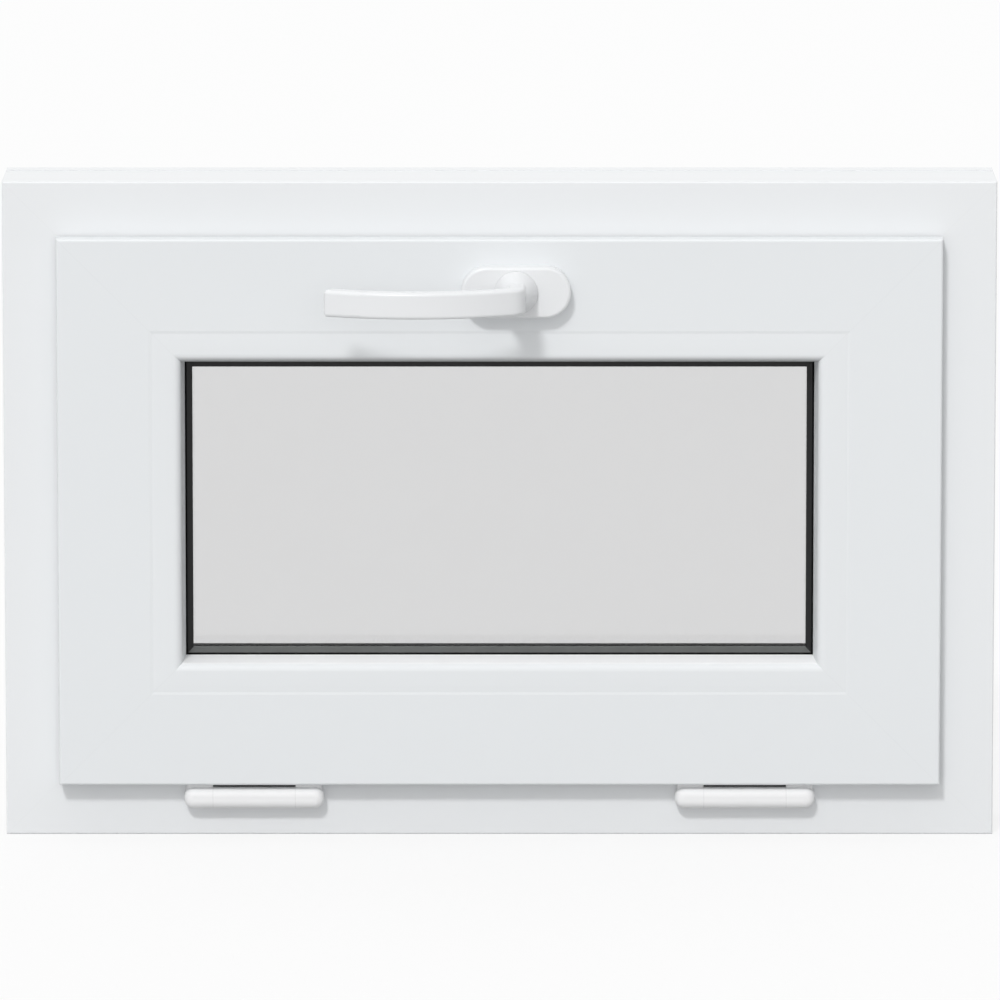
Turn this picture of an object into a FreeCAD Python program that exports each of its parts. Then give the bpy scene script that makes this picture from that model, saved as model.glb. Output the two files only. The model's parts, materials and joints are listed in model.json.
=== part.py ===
import FreeCAD, Part
import math
import os

import Sketcher

# A bottom-hung hopper window, closed, seen from the room.
# Millimetres. X runs along the window, the room is at -Y, Z is up.
# The origin is the middle of the underside of the outer frame.

document = FreeCAD.newDocument("hopper_window")
sheet = document.addObject("Spreadsheet::Sheet", "Sizes")

# Every size of the window that can be set by itself.
sizes = {
    # outer frame
    "frame_width": 600,
    "frame_height": 400,
    "frame_depth": 70,
    "frame_face": 41,
    "frame_radius": 1,
    "stop_rise": 23,
    "stop_thickness": 11,
    "stop_bevel": 5,
    # grooves that run round the outside of the frame
    "anchor_groove_width": 4,
    "anchor_groove_depth": 2,
    "anchor_groove_setback": 14,
    "foam_groove_width": 1.5,
    "foam_groove_depth": 0.8,
    "foam_groove_setback": 1.5,
    # sash
    "sash_overlap": 8,
    "sash_projection": 15,
    "sash_face": 56,
    "sash_radius": 1.5,
    "rebate_gap": 12,
    "seal_gap": 2,
    "glazing_lip": 17,
    "lip_bevel": 9,
    # glazing bead
    "bead_width": 20.5,
    "bead_slope": 2,
    "bead_radius": 5,
    "bead_crown": 0.3,
    "crown_width": 10,
    "joint_radius": 0.15,
    # glass unit and its gaskets
    "pane_thickness": 4,
    "pane_gap": 16,
    "pane_clearance": 6,
    "sealant_depth": 4,
    "spacer_rise": 10,
    "gasket_thickness": 4,
    "gasket_seat": 9,
    "gasket_reveal": 4.5,
    "outer_gasket_reveal": 2.5,
    "gasket_fall": 2.5,
    "gasket_groove": 1.2,
    # weather seals
    "seal_width": 5,
    "seal_inset": 1.5,
    "seal_radius": 0.8,
    # handle
    "handle_offset": 10,
    "handle_drop": 31,
    "rosette_length": 66,
    "rosette_height": 31,
    "rosette_thickness": 11.5,
    "rosette_radius": 2,
    "spigot_radius": 8,
    "spigot_clearance": 0.1,
    "spigot_foot": 3,
    "collar_radius": 13,
    "collar_clearance": 0.3,
    "collar_length": 26,
    "collar_edge": 1.5,
    "neck_radius": 6,
    "elbow_start": 44.6,
    "elbow_radius": 8,
    "bow_radius": 115,
    "bow_crest": 60,
    "lever_reach": 113,
    "lever_thickness": 11,
    "lever_height": 16,
    "lever_corner": 2.2,
    "lever_bevel": 2,
    "lever_tip": 1.6,
    # hinges under the sash
    "hinge_inset": 151,
    "hinge_height": 24,
    "cover_length": 85,
    "cover_height": 13,
    "cover_corner": 5.8,
    "cover_projection": 12.5,
    "cover_radius": 5.2,
    "shoulder_projection": 8,
    "leaf_length": 50,
    "leaf_thickness": 3,
    "leaf_setback": 3,
    "leaf_clearance": 0.2,
    "leaf_engagement": 5,
    # drain caps on the weather side
    "drain_inset": 150,
    "drain_height": 20,
    "drain_length": 42,
    "drain_rise": 13,
    "drain_projection": 5,
    "drain_radius": 2,
    "drain_wall": 1.5,
}

for row, (alias, size) in enumerate(sizes.items(), start=1):
    sheet.set(f"A{row}", str(size))
    sheet.setAlias(f"A{row}", alias)
document.recompute()

# Depths, from the room to the weather, written once and shared by the pieces that meet there.
FRAME_FRONT = "(-Sizes.frame_depth / 2)"
FRAME_BACK = "(Sizes.frame_depth / 2)"
STOP_FRONT = f"({FRAME_BACK} - Sizes.stop_thickness)"
SASH_FRONT = f"({FRAME_FRONT} - Sizes.sash_projection)"
FLANGE_BACK = f"({FRAME_FRONT} - Sizes.seal_gap)"
SASH_BACK = f"({STOP_FRONT} - Sizes.seal_gap)"
LIP_FRONT = f"({SASH_BACK} - Sizes.glazing_lip)"
OUTER_PANE_BACK = f"({LIP_FRONT} - Sizes.gasket_thickness)"
OUTER_PANE_FRONT = f"({OUTER_PANE_BACK} - Sizes.pane_thickness)"
INNER_PANE_BACK = f"({OUTER_PANE_FRONT} - Sizes.pane_gap)"
INNER_PANE_FRONT = f"({INNER_PANE_BACK} - Sizes.pane_thickness)"
BEAD_BACK = f"({INNER_PANE_FRONT} - Sizes.gasket_thickness)"

# Heights across a profile, from the outside of the frame inward, and from the sash edge inward.
STOP_TOP = "(Sizes.frame_face + Sizes.stop_rise)"
SASH_START = "(Sizes.frame_face - Sizes.sash_overlap)"
SASH_EDGE = "(Sizes.sash_overlap + Sizes.rebate_gap)"
SIGHT_LINE = "(Sizes.sash_face + Sizes.bead_width)"
PANE_EDGE = "(Sizes.sash_face + Sizes.pane_clearance)"
GASKET_START = f"({SIGHT_LINE} - Sizes.gasket_seat)"
GASKET_END = f"({SIGHT_LINE} + Sizes.gasket_reveal)"
OUTER_GASKET_END = f"({SIGHT_LINE} + Sizes.outer_gasket_reveal)"

SASH_WIDTH = f"(Sizes.frame_width - 2 * {SASH_START})"
SASH_HEIGHT = f"(Sizes.frame_height - 2 * {SASH_START})"

UPWARD = FreeCAD.Vector(0, 0, 1)
QUARTER = math.pi / 2


def origin_plane(body, role):
    return [plane for plane in body.Origin.OriginFeatures if plane.Role == role][0]


def attach(sketch, body, role, offset=None):
    sketch.AttachmentSupport = (origin_plane(body, role), [""])
    sketch.MapMode = "FlatFace"
    if offset:
        sketch.setExpression("AttachmentOffset.Base.z", offset)


def bind(sketch, kind, *places, value, formula):
    index = sketch.addConstraint(Sketcher.Constraint(kind, *places, value))
    sketch.setExpression(f"Constraints[{index}]", formula)


def outline(body, name, role, loops, offset=None):
    """Straight-sided closed loops; each corner is a pair of formulas measured from the origin."""
    sketch = body.newObject("Sketcher::SketchObject", name)
    attach(sketch, body, role, offset)
    for corners in loops:
        count = len(corners)
        first = sketch.GeometryCount
        turn = 2 * math.pi / count
        start = [FreeCAD.Vector(math.cos(turn * i), math.sin(turn * i), 0) for i in range(count)]
        for i in range(count):
            sketch.addGeometry(Part.LineSegment(start[i], start[(i + 1) % count]))
        for i in range(count):
            after = first + (i + 1) % count
            sketch.addConstraint(Sketcher.Constraint("Coincident", first + i, 2, after, 1))
        for i, (across, up) in enumerate(corners):
            bind(sketch, "DistanceX", -1, 1, first + i, 1, value=start[i].x, formula=across)
            bind(sketch, "DistanceY", -1, 1, first + i, 1, value=start[i].y, formula=up)
    return sketch


def circle(body, name, role, radius, offset=None):
    sketch = body.newObject("Sketcher::SketchObject", name)
    attach(sketch, body, role, offset)
    sketch.addGeometry(Part.Circle(FreeCAD.Vector(), UPWARD, 1))
    sketch.addConstraint(Sketcher.Constraint("Coincident", 0, 3, -1, 1))
    bind(sketch, "Radius", 0, value=1, formula=radius)
    return sketch


def rectangle(across, up):
    """The corners of a rectangle about the origin, from its half width and half height."""
    return [
        (f"-{across}", f"-{up}"),
        (across, f"-{up}"),
        (across, up),
        (f"-{across}", up),
    ]


def new_body(label):
    body = document.addObject("PartDesign::Body", label)
    body.Label = label
    return body


def pad(body, sketch, length, symmetric=False, backward=False):
    feature = body.newObject("PartDesign::Pad", f"{body.Name}_pad")
    feature.Profile = sketch
    feature.setExpression("Length", length)
    if symmetric:
        feature.SideType = "Symmetric"
    feature.Reversed = backward
    sketch.Visibility = False
    return feature


def pocket(body, sketch, length=None, backward=False):
    """A cut, right through to both sides where no length is given."""
    feature = body.newObject("PartDesign::Pocket", f"{body.Name}_pocket")
    feature.Profile = sketch
    if length:
        feature.setExpression("Length", length)
    else:
        feature.Type = "ThroughAll"
        feature.SideType = "Symmetric"
    feature.Reversed = backward
    return feature


def round_edges(body, feature, wanted, radius):
    """Round the edges of the last feature that the test picks out."""
    document.recompute()
    names = [f"Edge{i}" for i, edge in enumerate(feature.Shape.Edges, start=1) if wanted(edge)]
    fillet = body.newObject("PartDesign::Fillet", f"{body.Name}_round")
    fillet.Base = (feature, names)
    fillet.setExpression("Radius", radius)
    return fillet


def place(body, across="0", depth="0", up="0", turn=0):
    body.Placement = FreeCAD.Placement(
        FreeCAD.Vector(), FreeCAD.Rotation(FreeCAD.Vector(0, 1, 0), turn)
    )
    for axis, formula in zip("xyz", (across, depth, up)):
        body.setExpression(f"Placement.Base.{axis}", formula)


def along_at(corner):
    """A test for the edge of a straight profile that runs through one of its corners."""

    def wanted(edge):
        ends = [vertex.Point for vertex in edge.Vertexes]
        return len(ends) == 2 and all(
            math.hypot(end.y - corner.x, end.z - corner.y) < 1e-4 for end in ends
        )

    return wanted


def mitred(label, corners, length, rounds, across="0", up="0", turn=0):
    """One side of a rectangle: a profile drawn as depth and inward height, mitred at both ends."""
    body = new_body(label)
    profile = outline(body, f"{label}_profile", "YZ_Plane", [corners])
    last = pad(body, profile, length, symmetric=True)
    document.recompute()
    for corner, radius in rounds:
        spot = profile.Geometry[corners.index(corner)].StartPoint
        last = round_edges(body, last, along_at(spot), radius)
    end = f"({length} / 2)"
    reach = STOP_TOP if label.startswith("frame") else f"({GASKET_END} + Sizes.sash_overlap)"
    ends = [
        [(end, "0"), (end, reach), (f"({end} - {reach})", reach)],
        [(f"-{end}", "0"), (f"-{end}", reach), (f"-({end} - {reach})", reach)],
    ]
    pocket(body, outline(body, f"{label}_mitres", "XZ_Plane", ends))
    place(body, across, "0", up, turn)


def four_sides(group, names, corners, rounds, width, height, inset):
    """The four mitred sides of a rectangle that lies the inset in from the outside of the frame."""
    bottom, top, left, right = names
    middle = "Sizes.frame_height / 2"
    beside = f"(Sizes.frame_width / 2 - {inset})"
    mitred(f"{group}_{bottom}", corners, width, rounds, up=inset)
    mitred(f"{group}_{top}", corners, width, rounds, up=f"Sizes.frame_height - {inset}", turn=180)
    mitred(f"{group}_{left}", corners, height, rounds, f"-{beside}", middle, 90)
    mitred(f"{group}_{right}", corners, height, rounds, beside, middle, -90)


# Outer frame: a plain room face, a rebate for the sash and a stop on the weather side.
anchor_end = f"({FRAME_BACK} - Sizes.anchor_groove_setback)"
anchor_start = f"({anchor_end} - Sizes.anchor_groove_width)"
foam_end = f"({FRAME_BACK} - Sizes.foam_groove_setback)"
foam_start = f"({foam_end} - Sizes.foam_groove_width)"
frame_corners = [
    (FRAME_FRONT, "0"),
    (anchor_start, "0"),
    (anchor_start, "Sizes.anchor_groove_depth"),
    (anchor_end, "Sizes.anchor_groove_depth"),
    (anchor_end, "0"),
    (foam_start, "0"),
    (foam_start, "Sizes.foam_groove_depth"),
    (foam_end, "Sizes.foam_groove_depth"),
    (foam_end, "0"),
    (FRAME_BACK, "0"),
    (FRAME_BACK, f"({STOP_TOP} - Sizes.stop_bevel)"),
    (f"({FRAME_BACK} - Sizes.stop_bevel)", STOP_TOP),
    (STOP_FRONT, STOP_TOP),
    (STOP_FRONT, "Sizes.frame_face"),
    (FRAME_FRONT, "Sizes.frame_face"),
]
frame_rounds = [
    ((FRAME_FRONT, "0"), "Sizes.frame_radius"),
    ((FRAME_FRONT, "Sizes.frame_face"), "Sizes.joint_radius"),
]
four_sides(
    "frame", ("sill", "head", "left_jamb", "right_jamb"), frame_corners, frame_rounds,
    "Sizes.frame_width", "Sizes.frame_height", "0",
)

# Sash: a flange over the frame, a body in the rebate and a lip behind the glass.
sash_corners = [
    (SASH_FRONT, "0"),
    (FLANGE_BACK, "0"),
    (FLANGE_BACK, SASH_EDGE),
    (SASH_BACK, SASH_EDGE),
    (SASH_BACK, f"({SIGHT_LINE} - Sizes.lip_bevel)"),
    (f"({SASH_BACK} - Sizes.lip_bevel)", SIGHT_LINE),
    (LIP_FRONT, SIGHT_LINE),
    (LIP_FRONT, "Sizes.sash_face"),
    (SASH_FRONT, "Sizes.sash_face"),
]
sash_rounds = [
    ((SASH_FRONT, "0"), "Sizes.sash_radius"),
    ((SASH_FRONT, "Sizes.sash_face"), "Sizes.joint_radius"),
]
sash_sides = ("bottom_rail", "top_rail", "left_stile", "right_stile")
four_sides("sash", sash_sides, sash_corners, sash_rounds, SASH_WIDTH, SASH_HEIGHT, SASH_START)

# Glazing beads: a face that rises a little from the joint, then rolls over down to the gasket.
bead_joint = (f"({SASH_FRONT} + Sizes.bead_crown)", "Sizes.sash_face")
bead_rise = (f"({SASH_FRONT} + Sizes.bead_crown / 4)", "(Sizes.sash_face + Sizes.crown_width / 2)")
bead_crest = (SASH_FRONT, "(Sizes.sash_face + Sizes.crown_width)")
bead_shoulder = (SASH_FRONT, f"({SIGHT_LINE} - Sizes.bead_slope)")
bead_corners = [
    bead_joint,
    bead_rise,
    bead_crest,
    bead_shoulder,
    (BEAD_BACK, SIGHT_LINE),
    (BEAD_BACK, "Sizes.sash_face"),
]
bead_rounds = [(bead_shoulder, "Sizes.bead_radius"), (bead_joint, "Sizes.joint_radius")]
sides = ("bottom", "top", "left", "right")
four_sides("bead", sides, bead_corners, bead_rounds, SASH_WIDTH, SASH_HEIGHT, SASH_START)

# Gaskets on both faces of the glass; their lips show past the beads and past the sash lip.
inner_gasket_corners = [
    (BEAD_BACK, GASKET_START),
    (BEAD_BACK, f"({SIGHT_LINE} - Sizes.gasket_groove)"),
    (f"({BEAD_BACK} + Sizes.gasket_groove)", SIGHT_LINE),
    (f"({BEAD_BACK} + Sizes.gasket_groove / 2)", f"({SIGHT_LINE} + Sizes.gasket_groove)"),
    (f"({BEAD_BACK} + Sizes.gasket_fall)", GASKET_END),
    (INNER_PANE_FRONT, GASKET_END),
    (INNER_PANE_FRONT, GASKET_START),
]
four_sides(
    "inner_gasket", sides, inner_gasket_corners, [], SASH_WIDTH, SASH_HEIGHT, SASH_START
)
outer_gasket_corners = [
    (OUTER_PANE_BACK, GASKET_START),
    (OUTER_PANE_BACK, OUTER_GASKET_END),
    (f"({LIP_FRONT} - Sizes.gasket_fall)", OUTER_GASKET_END),
    (LIP_FRONT, SIGHT_LINE),
    (LIP_FRONT, GASKET_START),
]
four_sides(
    "outer_gasket", sides, outer_gasket_corners, [], SASH_WIDTH, SASH_HEIGHT, SASH_START
)

# Weather seals: one between the flange and the frame face, one between the sash and the stop.
sash_seal_end = "(Sizes.seal_inset + Sizes.seal_width)"
sash_seal_corners = [
    (FLANGE_BACK, "Sizes.seal_inset"),
    (FRAME_FRONT, "Sizes.seal_inset"),
    (FRAME_FRONT, sash_seal_end),
    (FLANGE_BACK, sash_seal_end),
]
four_sides(
    "sash_seal", sides, sash_seal_corners, [(sash_seal_corners[0], "Sizes.seal_radius")],
    SASH_WIDTH, SASH_HEIGHT, SASH_START,
)
stop_seal_end = f"({STOP_TOP} - Sizes.seal_inset)"
stop_seal_start = f"({stop_seal_end} - Sizes.seal_width)"
stop_seal_corners = [
    (SASH_BACK, stop_seal_start),
    (STOP_FRONT, stop_seal_start),
    (STOP_FRONT, stop_seal_end),
    (SASH_BACK, stop_seal_end),
]
four_sides(
    "frame_seal", sides, stop_seal_corners, [(stop_seal_corners[-1], "Sizes.seal_radius")],
    "Sizes.frame_width", "Sizes.frame_height", "0",
)

# Sealed glass unit: two panes held apart by a spacer bar round the edge.
PANE_WIDTH = f"({SASH_WIDTH} - 2 * {PANE_EDGE})"
PANE_HEIGHT = f"({SASH_HEIGHT} - 2 * {PANE_EDGE})"
for label, front in (("glass_inner_pane", INNER_PANE_FRONT), ("glass_outer_pane", OUTER_PANE_FRONT)):
    pane = document.addObject("Part::Box", label)
    pane.Label = label
    pane.setExpression("Length", PANE_WIDTH)
    pane.setExpression("Width", "Sizes.pane_thickness")
    pane.setExpression("Height", PANE_HEIGHT)
    pane.setExpression("Placement.Base.x", f"-{PANE_WIDTH} / 2")
    pane.setExpression("Placement.Base.y", front)
    pane.setExpression("Placement.Base.z", f"(Sizes.frame_height - {PANE_HEIGHT}) / 2")

spacer = new_body("spacer_bar")
spacer_ring = outline(
    spacer, "spacer_ring", "XZ_Plane",
    [
        rectangle(f"({PANE_WIDTH} / 2 - {edge})", f"({PANE_HEIGHT} / 2 - {edge})")
        for edge in ("Sizes.sealant_depth", "(Sizes.sealant_depth + Sizes.spacer_rise)")
    ],
)
pad(spacer, spacer_ring, "Sizes.pane_gap", backward=True)
place(spacer, depth=INNER_PANE_BACK, up="Sizes.frame_height / 2")


def rounded_bar(body, name, length, height, corner, offset=None):
    """A rectangle with round corners about the origin of the upright plane, from named sizes."""
    sketch = body.newObject("Sketcher::SketchObject", name)
    attach(sketch, body, "XZ_Plane", offset)
    radius = sizes[corner]
    across = sizes[length] / 2 - radius
    up = sizes[height] / 2 - radius
    for i, (x, z) in enumerate(((across, up), (-across, up), (-across, -up), (across, -up))):
        round_corner = Part.Circle(FreeCAD.Vector(x, z, 0), UPWARD, radius)
        sketch.addGeometry(Part.ArcOfCircle(round_corner, i * QUARTER, (i + 1) * QUARTER))
    for i in range(4):
        arc, following = sketch.Geometry[i], sketch.Geometry[(i + 1) % 4]
        sketch.addGeometry(Part.LineSegment(arc.EndPoint, following.StartPoint))
    for i in range(4):
        sketch.addConstraint(Sketcher.Constraint("Tangent", i, 2, 4 + i, 1))
        sketch.addConstraint(Sketcher.Constraint("Tangent", 4 + i, 2, (i + 1) % 4, 1))
    for i in range(1, 4):
        sketch.addConstraint(Sketcher.Constraint("Equal", 0, i))
    sketch.addConstraint(Sketcher.Constraint("Horizontal", 4))
    sketch.addConstraint(Sketcher.Constraint("Symmetric", 0, 3, 2, 3, -1, 1))
    bind(sketch, "Radius", 0, value=radius, formula=f"Sizes.{corner}")
    straight = f"Sizes.{length} - 2 * Sizes.{corner}"
    bind(sketch, "DistanceX", 1, 3, 0, 3, value=2 * across, formula=straight)
    straight = f"Sizes.{height} - 2 * Sizes.{corner}"
    bind(sketch, "DistanceY", 3, 3, 0, 3, value=2 * up, formula=straight)
    return sketch


def stadium(body, name, length, height):
    """A bar with round ends about the origin of the upright plane, from two named sizes."""
    sketch = body.newObject("Sketcher::SketchObject", name)
    attach(sketch, body, "XZ_Plane")
    radius = sizes[height] / 2
    reach = sizes[length] / 2 - radius
    right, left = FreeCAD.Vector(reach, 0, 0), FreeCAD.Vector(-reach, 0, 0)
    rise = FreeCAD.Vector(0, radius, 0)
    sketch.addGeometry(Part.LineSegment(right + rise, left + rise))
    sketch.addGeometry(Part.ArcOfCircle(Part.Circle(left, UPWARD, radius), QUARTER, 3 * QUARTER))
    sketch.addGeometry(Part.LineSegment(left - rise, right - rise))
    sketch.addGeometry(Part.ArcOfCircle(Part.Circle(right, UPWARD, radius), -QUARTER, QUARTER))
    for i in range(4):
        sketch.addConstraint(Sketcher.Constraint("Tangent", i, 2, (i + 1) % 4, 1))
    sketch.addConstraint(Sketcher.Constraint("PointOnObject", 1, 3, -1))
    sketch.addConstraint(Sketcher.Constraint("Symmetric", 1, 3, 3, 3, -1, 1))
    bind(sketch, "Radius", 3, value=radius, formula=f"Sizes.{height} / 2")
    bind(sketch, "DistanceX", 1, 3, 3, 3, value=2 * reach, formula=f"Sizes.{length} - Sizes.{height}")
    return sketch


def facing(depth):
    """A test for edges that lie wholly at one depth."""
    return lambda edge: all(abs(vertex.Y - depth) < 1e-4 for vertex in edge.Vertexes)


# Handle: a plate with round ends on the top rail, and a bowed lever that turns in it.
HANDLE_HEIGHT = f"(Sizes.frame_height - {SASH_START} - Sizes.handle_drop)"

rosette = new_body("handle_rosette")
plate = stadium(rosette, "rosette_plate", "rosette_length", "rosette_height")
plate_pad = pad(rosette, plate, "Sizes.rosette_thickness")
round_edges(rosette, plate_pad, facing(-sizes["rosette_thickness"]), "Sizes.rosette_radius")
bore_radius = "(Sizes.spigot_radius + Sizes.spigot_clearance)"
pocket(rosette, circle(rosette, "rosette_bore", "XZ_Plane", bore_radius))
place(rosette, "Sizes.handle_offset", SASH_FRONT, HANDLE_HEIGHT)

# The foot of the lever, turned: a spigot in the plate, then a collar that narrows to the neck.
lever = new_body("handle_lever")
COLLAR_BACK = "(Sizes.rosette_thickness + Sizes.collar_clearance)"
COLLAR_FRONT = f"({COLLAR_BACK} + Sizes.collar_length)"
foot = outline(
    lever, "lever_foot", "XY_Plane",
    [[
        ("0", "-Sizes.spigot_foot"),
        ("Sizes.spigot_radius", "-Sizes.spigot_foot"),
        ("Sizes.spigot_radius", f"-{COLLAR_BACK}"),
        ("Sizes.collar_radius", f"-{COLLAR_BACK}"),
        ("Sizes.collar_radius", f"-({COLLAR_BACK} + Sizes.collar_edge)"),
        ("Sizes.neck_radius", f"-{COLLAR_FRONT}"),
        ("0", f"-{COLLAR_FRONT}"),
    ]],
)
turned = lever.newObject("PartDesign::Revolution", "lever_turned")
turned.Profile = foot
turned.ReferenceAxis = (foot, ["V_Axis"])

# The lever's middle line in plan: straight out of the collar, round an elbow, then along a bow.
elbow_radius = sizes["elbow_radius"]
bow_radius = sizes["bow_radius"]
elbow_turn = math.acos((sizes["bow_crest"] - elbow_radius) / (bow_radius - elbow_radius))
tip_turn = math.acos((sizes["lever_reach"] - sizes["bow_crest"]) / bow_radius)
bar_start = FreeCAD.Vector(0, -sizes["rosette_thickness"] - sizes["collar_clearance"], 0)
elbow_start = FreeCAD.Vector(0, -sizes["elbow_start"], 0)
elbow_middle = elbow_start - FreeCAD.Vector(elbow_radius, 0, 0)
outward = FreeCAD.Vector(math.cos(elbow_turn), -math.sin(elbow_turn), 0)
bow_middle = elbow_middle - outward * (bow_radius - elbow_radius)
elbow = Part.ArcOfCircle(Part.Circle(elbow_middle, UPWARD, elbow_radius), -elbow_turn, 0)
bow = Part.ArcOfCircle(Part.Circle(bow_middle, UPWARD, bow_radius), tip_turn - math.pi, -elbow_turn)

path = lever.newObject("Sketcher::SketchObject", "lever_path")
attach(path, lever, "XY_Plane")
path.addGeometry(Part.LineSegment(bar_start, elbow_start))
path.addGeometry(elbow)
path.addGeometry(bow)
path.addConstraint(Sketcher.Constraint("PointOnObject", 0, 1, -2))
path.addConstraint(Sketcher.Constraint("PointOnObject", 0, 2, -2))
path.addConstraint(Sketcher.Constraint("Tangent", 0, 2, 1, 2))
path.addConstraint(Sketcher.Constraint("Tangent", 1, 1, 2, 2))
bind(path, "DistanceY", -1, 1, 0, 1, value=bar_start.y, formula=f"-{COLLAR_BACK}")
bind(path, "DistanceY", -1, 1, 0, 2, value=elbow_start.y, formula="-Sizes.elbow_start")
bind(path, "Radius", 1, value=elbow_radius, formula="Sizes.elbow_radius")
bind(path, "Radius", 2, value=bow_radius, formula="Sizes.bow_radius")
bind(path, "DistanceX", -1, 1, 2, 3, value=bow_middle.x, formula="-Sizes.bow_crest")
bind(path, "DistanceX", -1, 1, 2, 1, value=bow.StartPoint.x, formula="-Sizes.lever_reach")

# The bar's section: round corners towards the room, bevelled ones towards the sash.
section = lever.newObject("Sketcher::SketchObject", "lever_section")
attach(section, lever, "XZ_Plane", COLLAR_BACK)
corner, bevel = sizes["lever_corner"], sizes["lever_bevel"]
front, top = sizes["lever_thickness"] / 2, sizes["lever_height"] / 2
flat_points = [
    (front - corner, top), (bevel - front, top), (-front, top - bevel),
    (-front, bevel - top), (bevel - front, -top), (front - corner, -top),
]
flat_points = [FreeCAD.Vector(across, up, 0) for across, up in flat_points]
for start, end in zip(flat_points, flat_points[1:]):
    section.addGeometry(Part.LineSegment(start, end))
for up, first in ((corner - top, -QUARTER), (top - corner, 0)):
    round_corner = Part.Circle(FreeCAD.Vector(front - corner, up, 0), UPWARD, corner)
    section.addGeometry(Part.ArcOfCircle(round_corner, first, first + QUARTER))
section.addGeometry(Part.LineSegment(section.Geometry[5].EndPoint, section.Geometry[6].StartPoint))
for i in range(4):
    section.addConstraint(Sketcher.Constraint("Coincident", i, 2, i + 1, 1))
for line, end, arc, arc_end in ((4, 2, 5, 1), (7, 1, 5, 2), (7, 2, 6, 1), (0, 1, 6, 2)):
    section.addConstraint(Sketcher.Constraint("Tangent", line, end, arc, arc_end))
for line, kind in ((0, "Horizontal"), (2, "Vertical"), (4, "Horizontal"), (7, "Vertical")):
    section.addConstraint(Sketcher.Constraint(kind, line))
section.addConstraint(Sketcher.Constraint("Equal", 5, 6))
bind(section, "Radius", 5, value=corner, formula="Sizes.lever_corner")
HALF_THICKNESS, HALF_LEVER = "Sizes.lever_thickness / 2", "Sizes.lever_height / 2"
bind(section, "DistanceX", -1, 1, 7, 1, value=front, formula=HALF_THICKNESS)
bind(section, "DistanceX", -1, 1, 2, 1, value=-front, formula=f"-{HALF_THICKNESS}")
bind(section, "DistanceY", -1, 1, 0, 1, value=top, formula=HALF_LEVER)
bind(section, "DistanceY", -1, 1, 4, 1, value=-top, formula=f"-{HALF_LEVER}")
for line, end in ((0, 2), (4, 1)):
    bevel_across = f"Sizes.lever_bevel - {HALF_THICKNESS}"
    bind(section, "DistanceX", -1, 1, line, end, value=bevel - front, formula=bevel_across)
bind(section, "DistanceY", -1, 1, 2, 1, value=top - bevel, formula=f"{HALF_LEVER} - Sizes.lever_bevel")
bind(section, "DistanceY", -1, 1, 2, 2, value=bevel - top, formula=f"Sizes.lever_bevel - {HALF_LEVER}")
sweep = lever.newObject("PartDesign::AdditivePipe", "lever_sweep")
sweep.Profile = section
sweep.Spine = path


def at_tip(edge):
    tip = bow.StartPoint
    return all((vertex.Point - tip).Length < sizes["lever_height"] for vertex in edge.Vertexes)


document.recompute()
tip_edges = [f"Edge{i}" for i, edge in enumerate(sweep.Shape.Edges, start=1) if at_tip(edge)]
tip_chamfer = lever.newObject("PartDesign::Chamfer", "lever_tip_chamfer")
tip_chamfer.Base = (sweep, tip_edges)
tip_chamfer.setExpression("Size", "Sizes.lever_tip")
place(lever, "Sizes.handle_offset", SASH_FRONT, HANDLE_HEIGHT)

# Hinges: a soft-edged cover on the sill for each, with a shoulder at both ends and a steel leaf
# between them that reach up to the sash.
shoulder_end = "(Sizes.cover_length / 2 - Sizes.cover_corner)"
shoulder_top = f"({SASH_START} - Sizes.hinge_height)"
LEAF_BACK = "Sizes.leaf_setback"
LEAF_FRONT = f"({LEAF_BACK} + Sizes.leaf_thickness)"
LEAF_FOOT = "(Sizes.cover_height / 2 - Sizes.leaf_engagement)"
slot_side = "(Sizes.leaf_length / 2 + Sizes.leaf_clearance)"
slot_front = f"-({LEAF_FRONT} + Sizes.leaf_clearance)"
slot_back = f"-({LEAF_BACK} - Sizes.leaf_clearance)"
covers = document.addObject("Part::Compound", "hinge_covers")
covers.Label = "hinge_covers"
for side, sign in (("left", "-"), ("right", "")):
    hinge_across = f"{sign}(Sizes.frame_width / 2 - Sizes.hinge_inset)"
    cover = new_body(f"hinge_cover_{side}")
    face = rounded_bar(cover, f"cover_{side}", "cover_length", "cover_height", "cover_corner")
    face_pad = pad(cover, face, "Sizes.cover_projection")
    round_edges(cover, face_pad, facing(-sizes["cover_projection"]), "Sizes.cover_radius")
    shoulder_loops = [
        [(f"{way}{slot_side}", "0"), (f"{way}{shoulder_end}", "0"),
         (f"{way}{shoulder_end}", shoulder_top), (f"{way}{slot_side}", shoulder_top)]
        for way in ("", "-")
    ]
    shoulders = outline(cover, f"cover_shoulders_{side}", "XZ_Plane", shoulder_loops)
    pad(cover, shoulders, "Sizes.shoulder_projection")
    slot_corners = [
        (f"-{slot_side}", slot_front),
        (slot_side, slot_front),
        (slot_side, slot_back),
        (f"-{slot_side}", slot_back),
    ]
    slot = outline(cover, f"cover_slot_{side}", "XY_Plane", [slot_corners], LEAF_FOOT)
    pocket(cover, slot, "Sizes.cover_height", backward=True)
    place(cover, hinge_across, FRAME_FRONT, "Sizes.hinge_height")
    covers.Links += [cover]

    leaf = document.addObject("Part::Box", f"hinge_leaf_{side}")
    leaf.Label = f"hinge_leaf_{side}"
    leaf.setExpression("Length", "Sizes.leaf_length")
    leaf.setExpression("Width", "Sizes.leaf_thickness")
    leaf.setExpression("Height", f"{SASH_START} - Sizes.hinge_height - {LEAF_FOOT}")
    leaf.setExpression("Placement.Base.x", f"{hinge_across} - Sizes.leaf_length / 2")
    leaf.setExpression("Placement.Base.y", f"{FRAME_FRONT} - {LEAF_FRONT}")
    leaf.setExpression("Placement.Base.z", f"Sizes.hinge_height + {LEAF_FOOT}")

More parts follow.
